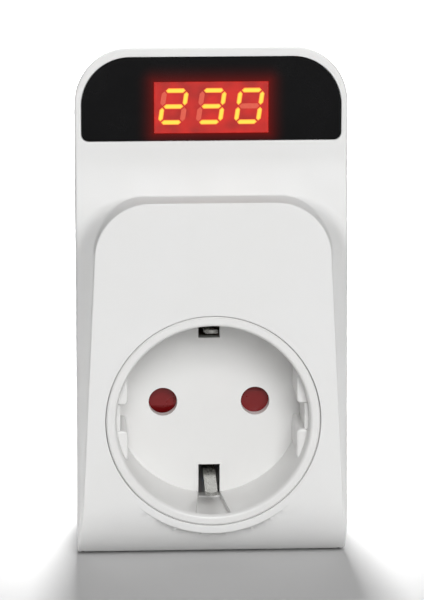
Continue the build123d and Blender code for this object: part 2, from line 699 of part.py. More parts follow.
RETAINER_FRONT_Y = -20.4
RETAINER_BACK_Y = -18.9
RETAINER_RADIUS = 19.0
with BuildPart() as shutter_retainer:
    rod(RETAINER_RADIUS, INSERT_BACK_Y, RETAINER_BACK_Y)
    rod(RETAINER_RADIUS - 1.5, INSERT_BACK_Y - 1.0, RETAINER_FRONT_Y, mode=Mode.SUBTRACT)
    rod(POST_RADIUS, INSERT_BACK_Y + 0.05, RETAINER_BACK_Y)
    for side in (-1, 1):
        with Locations((side * PIN_HALF_SPACING, 0, 0)):
            rod(3.2, RETAINER_FRONT_Y - 1.0, RETAINER_BACK_Y + 1.0, mode=Mode.SUBTRACT)
    for level in (-1, 1):
        block((-3.2, 3.2), (-25.0, -18.0), (level * 11.5, level * 20.0), mode=Mode.SUBTRACT)
save(shutter_retainer.part, "shutter_retainer")

# ---------------------------------------------------------------- socket contacts
CARRIER_RADIUS = 17.0
CARRIER_FRONT_Y = -18.6
CARRIER_BACK_Y = -7.0
CONTACT_FRONT_Y = -18.2
CONTACT_BACK_Y = -8.4
with BuildPart() as contact_carrier:
    rod(CARRIER_RADIUS, CARRIER_FRONT_Y, CARRIER_BACK_Y)
    for side in (-1, 1):
        with Locations((side * PIN_HALF_SPACING, 0, 0)):
            rod(4.4, CARRIER_FRONT_Y - 1.0, -8.2, mode=Mode.SUBTRACT)
            rod(1.35, CARRIER_FRONT_Y - 1.0, CARRIER_BACK_Y + 1.0, mode=Mode.SUBTRACT)
    for level in (-1, 1):
        block((-3.2, 3.2), (-20.0, -6.0), (level * 11.5, level * 20.0), mode=Mode.SUBTRACT)
save(contact_carrier.part, "contact_carrier")


def pin_contact(x, stud_end_y):
    """Brass sleeve with four spring fingers and a stud through the back of the carrier."""
    with BuildPart() as sleeve:
        with Locations((x, 0, 0)):
            rod(3.2, CONTACT_FRONT_Y, CONTACT_BACK_Y)
            rod(2.55, CONTACT_FRONT_Y - 1.0, CONTACT_BACK_Y - 0.8, mode=Mode.SUBTRACT)
            with Locations((0, CONTACT_FRONT_Y + 3.5, 0)):
                Box(8.0, 8.0, 0.6, mode=Mode.SUBTRACT)
                Box(0.6, 8.0, 8.0, mode=Mode.SUBTRACT)
            rod(1.3, CONTACT_BACK_Y, stud_end_y)
    return sleeve.part


LINE_OUT_Y = -6.4
NEUTRAL_BUS_Y = -5.4
save(pin_contact(PIN_HALF_SPACING, LINE_OUT_Y), "line_contact")
save(pin_contact(-PIN_HALF_SPACING, NEUTRAL_BUS_Y), "neutral_contact")

CLIP_HALF_WIDTH = 1.25
CLIP_THICKNESS = 0.7
CLIP_ROOT_Y = -7.6
CLIP_ROOT_Z = 13.4
CLIP_NECK = (-25.5, 14.85)
CLIP_TIP = (-37.0, 17.0)


def earth_clip(level):
    """Sheet-metal side contact: straight from its root, then leaning outwards to a rounded tip."""
    half = CLIP_THICKNESS / 2
    points = [(CLIP_ROOT_Y, CLIP_ROOT_Z), CLIP_NECK, CLIP_TIP]
    inner_side = [(y, level * (z - half)) for y, z in points]
    outer_side = [(y, level * (z + half)) for y, z in reversed(points)]
    with BuildPart() as clip:
        with BuildSketch(Plane.YZ):
            with BuildLine():
                Polyline(*inner_side, *outer_side, close=True)
            make_face()
        extrude(amount=CLIP_HALF_WIDTH, both=True)
        fillet(clip.faces().sort_by(Axis.Y)[0].edges().filter_by(Axis.Z, tolerance=30), 1.1)
    return clip.part


save(earth_clip(1), "earth_clip_upper")
save(earth_clip(-1), "earth_clip_lower")

BRIDGE_HALF_WIDTH = 2.6
with BuildPart() as earth_bridge:
    block((-BRIDGE_HALF_WIDTH, BRIDGE_HALF_WIDTH), (-6.8, -6.0), (-14.0, 14.0))
save(earth_bridge.part, "earth_bridge")

# ---------------------------------------------------------------- rear shell with the plug body
BOSS_TUBE_RADIUS = 4.0
NOTCH_X = 16.3
NOTCH_HALF_HEIGHT = 10.5
with BuildPart() as rear_shell:
    add(outer)
    fillet(rear_shell.faces().sort_by(Axis.Y)[-1].edges(), 1.0)
    add(cavity, mode=Mode.SUBTRACT)
    add(half_space(FACE_Y - 5.0, PARTING_Y), mode=Mode.SUBTRACT)
    # round plug body, hollow inside
    rod(SHROUD_RADIUS, -WALL, SHROUD_LENGTH)
    fillet(rear_shell.edges().filter_by(GeomType.CIRCLE).sort_by(Axis.Y)[-1], 1.2)
    rod(SHROUD_CAVITY_RADIUS, -WALL - 1.0, SHROUD_LENGTH - 2.0, mode=Mode.SUBTRACT)
    # side notches, each with a centre rib, that slide over the outlet's guide blocks
    for side in (-1, 1):
        for level in (-1, 1):
            block(
                (side * NOTCH_X, side * (SHROUD_RADIUS + 1.0)),
                (0.0, SHROUD_LENGTH + 1.0),
                (level * 2.3, level * NOTCH_HALF_HEIGHT),
                mode=Mode.SUBTRACT,
            )
    # slots for the earth strips, and their ways into the housing
    for level in (-1, 1):
        block(
            (-3.0, 3.0),
            (0.0, SHROUD_LENGTH + 1.0),
            (level * EARTH_STRIP_INNER, level * (SHROUD_RADIUS + 1.0)),
            mode=Mode.SUBTRACT,
        )
        block(
            (-2.7, 2.7),
            (-WALL - 1.0, 1.0),
            (level * (EARTH_STRIP_INNER - 0.05), level * (EARTH_STRIP_OUTER + 0.1)),
            mode=Mode.SUBTRACT,
        )
    for side in (-1, 1):
        with Locations((side * PIN_HALF_SPACING, 0, 0)):
            rod(PIN_RADIUS + 0.25, SHROUD_LENGTH - 3.0, SHROUD_LENGTH + 1.0, mode=Mode.SUBTRACT)
    # screw tubes with deep counterbores
    for x, z in HOUSING_SCREW_SPOTS:
        with Locations((x, 0, z)):
            rod(BOSS_TUBE_RADIUS, PARTING_Y, -1.0)
            rod(SCREW_HEAD_RADIUS + 0.3, SCREW_SEAT_Y, 1.0, mode=Mode.SUBTRACT)
            rod(SCREW_SHANK_RADIUS + 0.2, PARTING_Y - 1.0, 1.0, mode=Mode.SUBTRACT)
    # posts that carry the main board
    for x, z in [(-15.0, 28.0), (15.0, 28.0), (-12.0, 58.0), (12.0, 58.0)]:
        with Locations((x, 0, z)):
            rod(2.0, MAIN_BOARD_Y + BOARD_THICKNESS, -1.0)
save(rear_shell.part, "rear_shell")

with BuildPart() as housing_screws:
    for x, z in HOUSING_SCREW_SPOTS:
        with Locations((x, 0, z)):
            rod(SCREW_SHANK_RADIUS, -31.0, SCREW_SEAT_Y)
            rod(SCREW_HEAD_RADIUS, SCREW_SEAT_Y, SCREW_SEAT_Y + 2.0)
            with Locations((0, SCREW_SEAT_Y + 1.6, 0)):
                Box(3.2, 1.0, 0.7, mode=Mode.SUBTRACT)
                Box(0.7, 1.0, 3.2, mode=Mode.SUBTRACT)
save(housing_screws.part, "housing_screws")

# ---------------------------------------------------------------- plug pins and earth strips
PIN_FLANGE_BACK_Y = SHROUD_LENGTH - 2.0
PIN_FLANGE_FRONT_Y = PIN_FLANGE_BACK_Y - 3.0
PIN_CARRIER_FRONT_Y = PIN_FLANGE_FRONT_Y - 3.0
LINE_IN_Y = -4.0
with BuildPart() as pin_carrier:
    rod(SHROUD_CAVITY_RADIUS - RUNNING_GAP, PIN_CARRIER_FRONT_Y, PIN_FLANGE_FRONT_Y)
    for side in (-1, 1):
        with Locations((side * PIN_HALF_SPACING, 0, 0)):
            rod(1.6, 0.0, SHROUD_LENGTH, mode=Mode.SUBTRACT)
save(pin_carrier.part, "pin_carrier")


def plug_pin(x, tail_end_y):
    """Round-ended pin with a collar and flange held in the plug body, and a tail into the housing."""
    with BuildPart() as pin:
        with Locations((x, 0, 0)):
            rod(1.5, tail_end_y, PIN_FLANGE_FRONT_Y)
            rod(4.0, PIN_FLANGE_FRONT_Y, PIN_FLANGE_BACK_Y)
            rod(PIN_RADIUS + 0.2, PIN_FLANGE_BACK_Y, SHROUD_LENGTH)
            rod(PIN_RADIUS, SHROUD_LENGTH, SHROUD_LENGTH + PIN_LENGTH - PIN_RADIUS)
            with Locations((0, SHROUD_LENGTH + PIN_LENGTH - PIN_RADIUS, 0)):
                Sphere(PIN_RADIUS)
    return pin.part


save(plug_pin(PIN_HALF_SPACING, LINE_IN_Y), "plug_pin_line")
save(plug_pin(-PIN_HALF_SPACING, NEUTRAL_BUS_Y + 0.8), "plug_pin_neutral")


def plug_earth_strip(level):
    """Strip in a slot of the plug body, with its front end turned down and a foot inside the housing."""
    with BuildPart() as strip:
        thickness = (level * EARTH_STRIP_INNER, level * EARTH_STRIP_OUTER)
        block((-2.5, 2.5), (-5.9, SHROUD_LENGTH - 0.4), thickness)
        block((-2.5, 2.5), (-5.9, -5.1), (level * 9.0, level * EARTH_STRIP_OUTER))
        fillet(strip.edges().filter_by(Axis.X).sort_by(Axis.Y)[-1], 0.3)
    return strip.part


save(plug_earth_strip(1), "plug_earth_strip_upper")
save(plug_earth_strip(-1), "plug_earth_strip_lower")

# ---------------------------------------------------------------- bus bars
BUS_THICKNESS = 0.8
BUS_HALF_WIDTH = 1.1


def bus_bar(x, front_y, riser_x):
    """Flat bar with a pad on a contact or pin and a riser turned onto the main board's lower edge."""
    back_y = front_y + BUS_THICKNESS
    riser = (riser_x - BUS_HALF_WIDTH, riser_x + BUS_HALF_WIDTH)
    with BuildPart() as bar:
        block((x - 2.6, x + 2.6), (front_y, back_y), (-3.0, 3.0))
        block(riser, (front_y, back_y), (0.0, MAIN_BOARD_BOTTOM_Z - 0.2))
        block(riser, (MAIN_BOARD_Y, back_y), (MAIN_BOARD_BOTTOM_Z - 1.0, MAIN_BOARD_BOTTOM_Z - 0.2))
    return bar.part


save(bus_bar(PIN_HALF_SPACING, LINE_OUT_Y, PIN_HALF_SPACING - 1.5), "line_bus_out")
save(bus_bar(PIN_HALF_SPACING, LINE_IN_Y - BUS_THICKNESS, PIN_HALF_SPACING + 1.5), "line_bus_in")
save(bus_bar(-PIN_HALF_SPACING, NEUTRAL_BUS_Y, -PIN_HALF_SPACING), "neutral_bus")
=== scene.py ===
"""Looks of the plug-in voltage monitor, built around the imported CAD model.

Lengths in the shape code are millimetres in the CAD frame: +X right, +Y to the wall, +Z up.
"""

import math

import bmesh
import bpy
import numpy as np
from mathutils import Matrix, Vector
from mathutils.geometry import delaunay_2d_cdt


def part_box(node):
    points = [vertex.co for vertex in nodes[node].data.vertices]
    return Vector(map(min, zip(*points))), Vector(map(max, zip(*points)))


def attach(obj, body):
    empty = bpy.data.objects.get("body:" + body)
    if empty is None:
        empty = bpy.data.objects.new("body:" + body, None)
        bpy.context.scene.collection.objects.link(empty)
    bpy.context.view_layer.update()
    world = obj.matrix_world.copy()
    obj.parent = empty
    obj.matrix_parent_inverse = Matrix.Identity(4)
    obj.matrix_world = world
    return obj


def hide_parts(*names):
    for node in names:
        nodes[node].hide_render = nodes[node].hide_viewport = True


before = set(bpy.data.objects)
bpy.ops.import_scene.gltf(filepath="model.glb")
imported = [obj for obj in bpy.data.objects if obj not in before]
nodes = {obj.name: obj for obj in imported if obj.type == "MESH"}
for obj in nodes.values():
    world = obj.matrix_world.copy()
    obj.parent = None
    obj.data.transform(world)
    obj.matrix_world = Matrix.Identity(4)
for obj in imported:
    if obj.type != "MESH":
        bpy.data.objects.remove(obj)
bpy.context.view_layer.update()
MM = 0.001    # in metres

# ---------------------------------------------------------------- sizes taken from the frame
shell_low, shell_high = [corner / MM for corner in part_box("front_shell")]
window_low, window_high = [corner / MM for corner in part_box("display_window")]
led_low, led_high = [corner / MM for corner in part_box("led_display")]
HALF_WIDTH = shell_high.x
TOP_Z = shell_high.z
BOTTOM_Z = shell_low.z
FACE_Y = shell_low.y
PARTING_Y = shell_high.y
PLATE_Y = window_low.y

# ---------------------------------------------------------------- shape of the front shell
TOP_CORNER = 11.2
FOOT_CORNER = 1.2
OUTLINE_EDGE = 0.55     # rounding between the front and the sides
WALL = 2.2
PAD_ROLL = 13.5         # radius by which the face rolls under at the bottom
ROLL_Y = FACE_Y + PAD_ROLL
PAD_EDGE = 0.3
RIM_Y = FACE_Y + 0.8    # where the pad's wall meets the skirt
COVE = 0.25             # rounding inside the corner at the foot of the pad's wall
SKIRT_EDGE = 0.25
SKIRT_BLEND = 1.4       # rounding where the skirt's bevel runs into the plate
REAR_Y = 0.0
SIDE_DRAFT = (REAR_Y - ROLL_Y) * math.tan(math.radians(4.0))    # how far the sides lean in
TOP_SLOPE = math.tan(math.radians(20.0))
SEAM = 0.22             # bevel at the parting line
SOCKET_HOLE = 21.75
SEAT_RADIUS = 23.4      # ring round the outlet, and the wider bore behind it
SEAT_EDGE = 0.35
SEAT_DEPTH = 5.0
LIP_EDGE = 0.15         # rounding at the outlet's hole and the window's pocket
WINDOW_GAP = 0.1
WINDOW_TOP_CORNER = 9.8
WINDOW_FOOT_CORNER = 1.5
POCKET_DEPTH = 1.2
LED_GAP = 0.15
LED_CORNER = 0.4
# each slope runs straight between its arches at two depths, and each arch is given as
# (depth, half width at the top, half width at the foot, top, corner radius)
ARCH_FOOT_Z = BOTTOM_Z - 3.0    # height at which the half width at the foot is taken
PAD = ((FACE_Y, 23.15, 27.1, 44.8, 10.6), (ROLL_Y, 25.45, 29.4, 45.2, 10.8))
SKIRT = ((RIM_Y, 23.45, 27.4, 43.2, 10.6), (PLATE_Y, 28.7, 32.65, 43.6, 10.8))
# the sweep by which the window's plate comes forward towards the pad: (height, how far forward)
SWEEP = ((53.0, 0.0), (48.5, 0.0), (45.5, 1.9), (40.0, 1.9))
# closed outlines: half width, bottom, top, radius of the top corners, radius of the foot corners
OUTLINE = (HALF_WIDTH, BOTTOM_Z, TOP_Z, TOP_CORNER, FOOT_CORNER)
POCKET = (
    window_high.x + WINDOW_GAP,
    window_low.z - WINDOW_GAP,
    window_high.z + WINDOW_GAP,
    WINDOW_TOP_CORNER,
    WINDOW_FOOT_CORNER,
)
LED_OPENING = (led_high.x + LED_GAP, led_low.z - LED_GAP, led_high.z + LED_GAP, LED_CORNER, LED_CORNER)
# how far short of the sides and of the foot the rows of points stop
SIDE_CLEARANCE = 0.05
FOOT_CLEARANCE = 0.06

# ---------------------------------------------------------------- display
CORE_LAYER = "core"     # colour layer that is white in the middle of a lit bar, black at its edge
LIT_RIM = 0.3
# reach in millimetres and strength of the glow painted on the window round the display
PAINTED_HALO_REACH = 4.5
PAINTED_HALO_STRENGTH = 0.12


def shrunk(outline, inset):
    """The measures of a closed outline moved inwards."""
    half_width, bottom, top, top_radius, foot_radius = outline
    radii = (max(top_radius - inset, 0.2), max(foot_radius - inset, 0.2))
    return (half_width - inset, bottom + inset, top - inset, *radii)


def outside_outline(x, z, outline):
    """Distance outside a closed outline, negative inside."""
    half_width, bottom, top, top_radius, foot_radius = outline
    middle = (bottom + top) / 2
    radius = np.where(z > middle, top_radius, foot_radius)
    beside = np.abs(x) - half_width + radius
    beyond = np.abs(z - middle) - (top - bottom) / 2 + radius
    corner = np.hypot(np.maximum(beside, 0), np.maximum(beyond, 0))
    return corner + np.minimum(np.maximum(beside, beyond), 0) - radius


def rounded_edge(a, b, radius):
    """Distance outside the common part of two solids, with the edge between them rounded."""
    a = a + radius
    b = b + radius
    corner = np.hypot(np.maximum(a, 0), np.maximum(b, 0))
    return corner + np.minimum(np.maximum(a, b), 0) - radius


def arch_at(arches, y):
    """An arch's measures at a depth, on straight lines through its two sections."""
    (near_y, *near), (far_y, *far) = arches
    share = (y - near_y) / (far_y - near_y)
    return [here + (there - here) * share for here, there in zip(near, far)]


def outside_arch(arches, x, y, z):
    """How far a point lies outside the arch at its own depth, measured across, negative inside."""
    half_top, half_foot, top_z, radius = arch_at(arches, y)
    lean = (half_foot - half_top) / (top_z - ARCH_FOOT_Z)
    beside = (np.abs(x) - half_top - (top_z - z) * lean) / np.sqrt(1 + lean * lean) + radius
    above = z - top_z + radius
    corner = np.hypot(np.maximum(beside, 0), np.maximum(above, 0))
    return corner + np.minimum(np.maximum(beside, above), 0) - radius


def outside_wall(arches, x, y, z):
    """Distance outside the sloping wall through both arches, square to the wall."""
    step = 0.02
    ahead, behind = (outside_arch(arches, x, y + move, z) for move in (-step, step))
    slope = (ahead - behind) / (2 * step)
    return outside_arch(arches, x, y, z) / np.sqrt(1 + slope * slope)


def outside_roll(y, z, radius):
    """Distance in front of a flat face that rolls under at the bottom with that radius."""
    front = np.maximum(ROLL_Y - y, 0)
    below = np.maximum(BOTTOM_Z + radius - z, 0)
    return np.hypot(front, below) - radius


def sweep_curve(count=200):
    """Heights along the sweep's Bezier curve from low to high, and its depth at each of them."""
    t = np.linspace(0, 1, count)
    weights = (t**3, 3 * t * t * (1 - t), 3 * t * (1 - t) ** 2, (1 - t) ** 3)
    heights = sum(weight * height for weight, (height, _) in zip(weights, SWEEP))
    forward = sum(weight * reach for weight, (_, reach) in zip(weights, SWEEP))
    return heights, PLATE_Y - forward


def outside_sweep(y, z):
    """Distance in front of the window's plate and the sweep below it."""
    heights, depths = sweep_curve()
    slope = np.interp(z, heights, np.gradient(depths, heights))
    return (np.interp(z, heights, depths) - y) / np.sqrt(1 + slope * slope)


def outside_body(x, y, z):
    """Distance outside the front shell without its openings, its edges and its coves rounded."""
    pad = rounded_edge(outside_wall(PAD, x, y, z), outside_roll(y, z, PAD_ROLL), PAD_EDGE)
    skirt = rounded_edge(outside_wall(SKIRT, x, y, z), RIM_Y - y, SKIRT_EDGE)
    base = -rounded_edge(-skirt, -outside_sweep(y, z), SKIRT_BLEND)
    base = np.maximum(base, outside_roll(y, z, ROLL_Y - RIM_Y))
    form = -rounded_edge(-pad, -base, COVE)
    form = np.minimum(form, rounded_edge(np.hypot(x, z) - SEAT_RADIUS, FACE_Y - y, SEAT_EDGE))
    open_below = (HALF_WIDTH, BOTTOM_Z - TOP_CORNER, TOP_Z, TOP_CORNER, FOOT_CORNER)
    sides = outside_outline(x, z, open_below)
    return rounded_edge(form, np.minimum(sides, 0), OUTLINE_EDGE)


def outside_face(x, y, z):
    """Distance outside the front shell's outer surface, with the lips of its two openings rounded."""
    into_hole = np.minimum(SOCKET_HOLE - np.hypot(x, z), 0)
    into_pocket = np.minimum(-outside_outline(x, z, POCKET), 0)
    with_hole = rounded_edge(outside_body(x, y, z), into_hole, LIP_EDGE)
    return rounded_edge(with_hole, into_pocket, LIP_EDGE)


def depth_where(outside, x, z, level=0.0, halvings=26, tolerance=1e-5):
    """Depth at which a line going back through (x, z) reaches that distance from a surface."""
    front = np.full(np.shape(x), FACE_Y)
    back = np.full(np.shape(x), ROLL_Y)
    for _ in range(halvings):
        middle = (front + back) / 2
        ahead = outside(x, middle, z) > level + tolerance
        front = np.where(ahead, middle, front)
        back = np.where(ahead, back, middle)
    return back


def face_depth(x, z):
    """Depth of the shell's outer surface."""
    return depth_where(outside_face, x, z)


def lining_depth(x, z):
    """Depth of the shell's inner surface, one wall behind the outer one."""
    return depth_where(outside_body, x, z, -WALL)


def drafted(x, z, y):
    """Where a point of the front's outline has moved to at a depth behind it."""
    share = (y - ROLL_Y) / (REAR_Y - ROLL_Y)
    radius = TOP_CORNER - SIDE_DRAFT * share
    centre_x = HALF_WIDTH - TOP_CORNER
    moved_x = centre_x + (np.abs(x) - centre_x) * radius / TOP_CORNER
    moved_x = np.where(np.abs(x) > centre_x, np.copysign(moved_x, x), x)
    low, high = BOTTOM_Z + SIDE_DRAFT * share, TOP_Z - TOP_SLOPE * (y - PLATE_Y) - radius
    straight = low + (z - BOTTOM_Z) * (high - low) / (TOP_Z - TOP_CORNER - BOTTOM_Z)
    round_part = high + (z - TOP_Z + TOP_CORNER) * radius / TOP_CORNER
    return moved_x, np.where(z > TOP_Z - TOP_CORNER, round_part, straight)


def on_circle(centre, radius, angle):
    """The (x, z) point of a circle at an angle."""
    return (centre[0] + radius * math.cos(angle), centre[1] + radius * math.sin(angle))


def loop_of(outline, side_pieces=40, top_steps=22, foot_steps=8):
    """A closed outline as (x, z) points, anticlockwise from the bottom right, always as many."""
    half_width, bottom, top, top_radius, foot_radius = outline
    corners = (
        (half_width - foot_radius, bottom + foot_radius, foot_radius, -90, foot_steps),
        (half_width - top_radius, top - top_radius, top_radius, 0, top_steps),
        (top_radius - half_width, top - top_radius, top_radius, 90, top_steps),
        (foot_radius - half_width, bottom + foot_radius, foot_radius, 180, foot_steps),
    )
    arcs = []
    for centre_x, centre_z, radius, start, steps in corners:
        angles = [math.radians(start + 90 * k / steps) for k in range(steps + 1)]
        arcs.append([on_circle((centre_x, centre_z), radius, angle) for angle in angles])
    loop = []
    for arc, following in zip(arcs, arcs[1:] + arcs[:1]):
        loop += arc[:-1] + divided(arc[-1], following[0], side_pieces)
    return loop


def divided(here, there, pieces):
    """Points that cut a straight line into equal pieces, its end left out."""
    return [tuple(a + (b - a) * k / pieces for a, b in zip(here, there)) for k in range(pieces)]


def level_row(height, pieces=40):
    """Points straight across the shell at one height."""
    reach = HALF_WIDTH - SIDE_CLEARANCE
    return divided((-reach, height), (reach, height), pieces) + [(reach, height)]


def circle_of(radius, count=192):
    """Points round a circle about the outlet's axis."""
    return [on_circle((0, 0), radius, 2 * math.pi * k / count) for k in range(count)]


def arch_row(arches, y, outward=0.0, arc_steps=30, side_pieces=60, top_pieces=20):
    """Points along an arch at that depth, moved outward, from the right foot to the left."""
    half_top, half_foot, top_z, radius = arch_at(arches, y)
    lean = (half_foot - half_top) / (top_z - ARCH_FOOT_Z)
    tilt = math.atan(lean)
    centre = (half_top + radius * lean - radius / math.cos(tilt), top_z - radius)
    reach = radius + outward
    angles = [tilt + (math.pi / 2 - tilt) * k / arc_steps for k in range(arc_steps + 1)]
    arc = [on_circle(centre, reach, angle) for angle in angles]
    low = BOTTOM_Z + FOOT_CLEARANCE
    foot = (arc[0][0] + lean * (arc[0][1] - low), low)
    right = divided(foot, arc[0], side_pieces) + arc
    left = [(-x, z) for x, z in reversed(right)]
    return right + divided(right[-1], left[0], top_pieces)[1:] + left


class Sketch:
    """Points and edges of a flat drawing in (x, z), to be filled with triangles."""

    def __init__(self):
        self.points = []
        self.edges = []

    def row(self, points, closed=False, keep=None):
        """Adds points joined by edges, leaving out those that keep refuses."""
        kept = keep(*np.array(points).T) if keep else [True] * len(points)
        first = len(self.points)
        joined = False
        for point, wanted in zip(points, kept):
            if wanted:
                self.points.append(point)
            if wanted and joined:
                self.edges.append((len(self.points) - 2, len(self.points) - 1))
            joined = wanted
        if closed:
            self.edges.append((len(self.points) - 1, first))

    def triangles(self, inside):
        """The drawing's points and its triangles whose middle is inside."""
        points, _, faces, _, _, _ = delaunay_2d_cdt(
            [Vector(point) for point in self.points], self.edges, [], 0, 1e-6, False
        )
        flat = np.array([tuple(point) for point in points])
        middles = flat[np.array(faces)].mean(axis=1)
        chosen = inside(middles[:, 0], middles[:, 1])
        return flat, [face for face, wanted in zip(faces, chosen) if wanted]


class Skin:
    """Faces of one closed mesh, gathered in millimetres as (x, y, z)."""

    def __init__(self):
        self.mesh = bmesh.new()

    def cover(self, sketch, inside, depth_of):
        """Adds a drawing's triangles, with their depth given by a function of (x, z)."""
        flat, triangles = sketch.triangles(inside)
        used = sorted({corner for triangle in triangles for corner in triangle})
        depths = depth_of(flat[used, 0], flat[used, 1])
        vertices = {}
        for corner, depth in zip(used, depths):
            vertices[corner] = self.mesh.verts.new((flat[corner, 0], depth, flat[corner, 1]))
        for triangle in triangles:
            self.mesh.faces.new([vertices[corner] for corner in triangle])

    def wall(self, *rings):
        """Joins closed rings of (x, y, z) points, each with as many points as the next."""
        rows = [[self.mesh.verts.new(point) for point in ring] for ring in rings]
        for near, far in zip(rows, rows[1:]):
            for k in range(len(near)):
                self.mesh.faces.new((near[k - 1], near[k], far[k], far[k - 1]))

    def piece(self, name, slot, sharp_angle=30.0):
        """Closes the seams and gives the mesh as an object in metres."""
        bmesh.ops.remove_doubles(self.mesh, verts=self.mesh.verts, dist=0.002)
        bmesh.ops.dissolve_degenerate(self.mesh, edges=self.mesh.edges, dist=0.0005)
        bmesh.ops.holes_fill(self.mesh, edges=self.mesh.edges, sides=8)
        bmesh.ops.recalc_face_normals(self.mesh, faces=self.mesh.faces)
        bmesh.ops.scale(self.mesh, vec=(MM, MM, MM), verts=self.mesh.verts)
        data = bpy.data.meshes.new(name)
        self.mesh.to_mesh(data)
        self.mesh.free()
        data.shade_smooth()
        data.set_sharp_from_angle(angle=math.radians(sharp_angle))
        return new_piece(name, data, slot)


def new_piece(name, data, slot):
    """Puts a mesh in the scene as a piece with that slot's material."""
    made = bpy.data.objects.new(name, data)
    bpy.context.scene.collection.objects.link(made)
    data.materials.clear()
    data.materials.append(LOOKS[slot].material)
    return made


def ring_at(points, y):
    """A ring of (x, z) points at one depth, or at a depth for each."""
    depths = np.broadcast_to(y, len(points))
    return [(x, depth, z) for (x, z), depth in zip(points, depths)]


def drafted_ring(points, y):
    """A ring of outline points moved in by the draft at a depth."""
    xs, zs = drafted(*np.array(points).T, y)
    return [(x, y, z) for x, z in zip(xs, zs)]


def lip_rows(sketch):
    """Rows round the window's pocket and the outlet's hole and seat, close together at each edge."""
    for outward in (0.0, 0.04, 0.09, 0.15, 0.5):
        sketch.row(loop_of(shrunk(POCKET, -outward)), closed=True)
        sketch.row(circle_of(SOCKET_HOLE + outward), closed=True)
    for inward in (0.0, 0.04, 0.12, 0.22, 0.35):
        sketch.row(circle_of(SEAT_RADIUS - inward), closed=True)


def side_rows(sketch, clear):
    """Rows along the rounded edge of the sides and top, run on below the foot."""
    run_on = 5.0
    for inset in (0.05, 0.11, 0.2, 0.32, 0.47, 0.66, 0.9, 1.3):
        half_width, _, top, top_radius, foot_radius = shrunk(OUTLINE, inset)
        open_below = (half_width, BOTTOM_Z - run_on, top, top_radius, foot_radius)
        sketch.row(loop_of(open_below), keep=clear)


def form_rows(sketch, clear):
    """Rows along the pad's edge, wall and cove, the skirt's bevel, the sweep and the rolled foot."""
    for outward in (-1.2, -0.6, -0.35, -0.28, -0.2, -0.12, -0.05, 0.1, 0.17, 0.24, 0.32, 0.42):
        sketch.row(arch_row(PAD, FACE_Y, outward), keep=clear)
    for depth in (0.0, 0.2, 0.4, 1.3, 1.7, 2.1, 2.5, 2.9, 3.3, 3.7, 4.1, 4.5):
        sketch.row(arch_row(PAD, FACE_Y + depth), keep=clear)
    for depth in (0.5, 0.8, 1.2, 1.7, 2.3, 3.0, 3.8, 4.6, 5.4, 6.2, 6.8, 7.4, 8.0):
        sketch.row(arch_row(SKIRT, RIM_Y + depth), keep=clear)
    for height in sweep_curve(24)[0]:
        sketch.row(level_row(height), keep=clear)
    for angle in range(0, 90, 5):
        sketch.row(level_row(BOTTOM_Z + PAD_ROLL * (1 - math.sin(math.radians(angle)))), keep=clear)


def region(outline, hole_radius, opening, outline_gap=0.0, hole_gap=0.0):
    """A test for points inside an outline and clear of the outlet's hole and of an opening."""

    def holds(x, z):
        beside_hole = np.hypot(x, z) >= hole_radius + hole_gap
        beside_opening = outside_outline(x, z, opening) >= hole_gap
        return (outside_outline(x, z, outline) < -outline_gap) & beside_hole & beside_opening

    return holds


def cover_face(skin, rim):
    """The outer surface, with close rows of points wherever it bends."""
    clear = region(OUTLINE, SOCKET_HOLE, POCKET, outline_gap=0.03, hole_gap=0.02)
    sketch = Sketch()
    sketch.row(rim, closed=True)
    lip_rows(sketch)
    side_rows(sketch, clear)
    form_rows(sketch, clear)
    skin.cover(sketch, region(OUTLINE, SOCKET_HOLE, POCKET), face_depth)


def cover_lining(skin, lining_outline, loops):
    """The inner surface, one wall behind the outer one, between its closed loops."""
    clear = region(lining_outline, SEAT_RADIUS, LED_OPENING, outline_gap=0.1, hole_gap=0.1)
    sketch = Sketch()
    for loop in loops:
        sketch.row(loop, closed=True)
    form_rows(sketch, clear)
    skin.cover(sketch, region(lining_outline, SEAT_RADIUS, LED_OPENING), lining_depth)


def front_shell():
    """The white front shell as one closed mesh: face, sides, rim, lining, window pocket, outlet hole."""
    skin = Skin()
    rim, hole, pocket = loop_of(OUTLINE), circle_of(SOCKET_HOLE), loop_of(POCKET)
    lining_outline = shrunk(OUTLINE, WALL)
    lining, seat, opening = loop_of(lining_outline), circle_of(SEAT_RADIUS), loop_of(LED_OPENING)
    pocket_floor = PLATE_Y + POCKET_DEPTH
    seat_back = FACE_Y + SEAT_DEPTH

    cover_face(skin, rim)
    cover_lining(skin, lining_outline, (lining, seat, opening))
    skin.wall(
        ring_at(rim, face_depth(*np.array(rim).T)),
        drafted_ring(rim, ROLL_Y),
        drafted_ring(rim, PARTING_Y - SEAM),
        drafted_ring(loop_of(shrunk(OUTLINE, SEAM)), PARTING_Y),
        drafted_ring(lining, PARTING_Y),
        drafted_ring(lining, ROLL_Y),
        ring_at(lining, lining_depth(*np.array(lining).T)),
    )
    skin.wall(
        ring_at(hole, face_depth(*np.array(hole).T)),
        ring_at(hole, seat_back),
        ring_at(seat, seat_back),
        ring_at(seat, lining_depth(*np.array(seat).T)),
    )
    skin.wall(
        ring_at(pocket, face_depth(*np.array(pocket).T)),
        ring_at(pocket, pocket_floor),
        ring_at(opening, pocket_floor),
        ring_at(opening, lining_depth(*np.array(opening).T)),
    )
    shell = skin.piece("front_shell_moulding", "housing_plastic")
    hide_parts("front_shell")
    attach(shell, "housing")


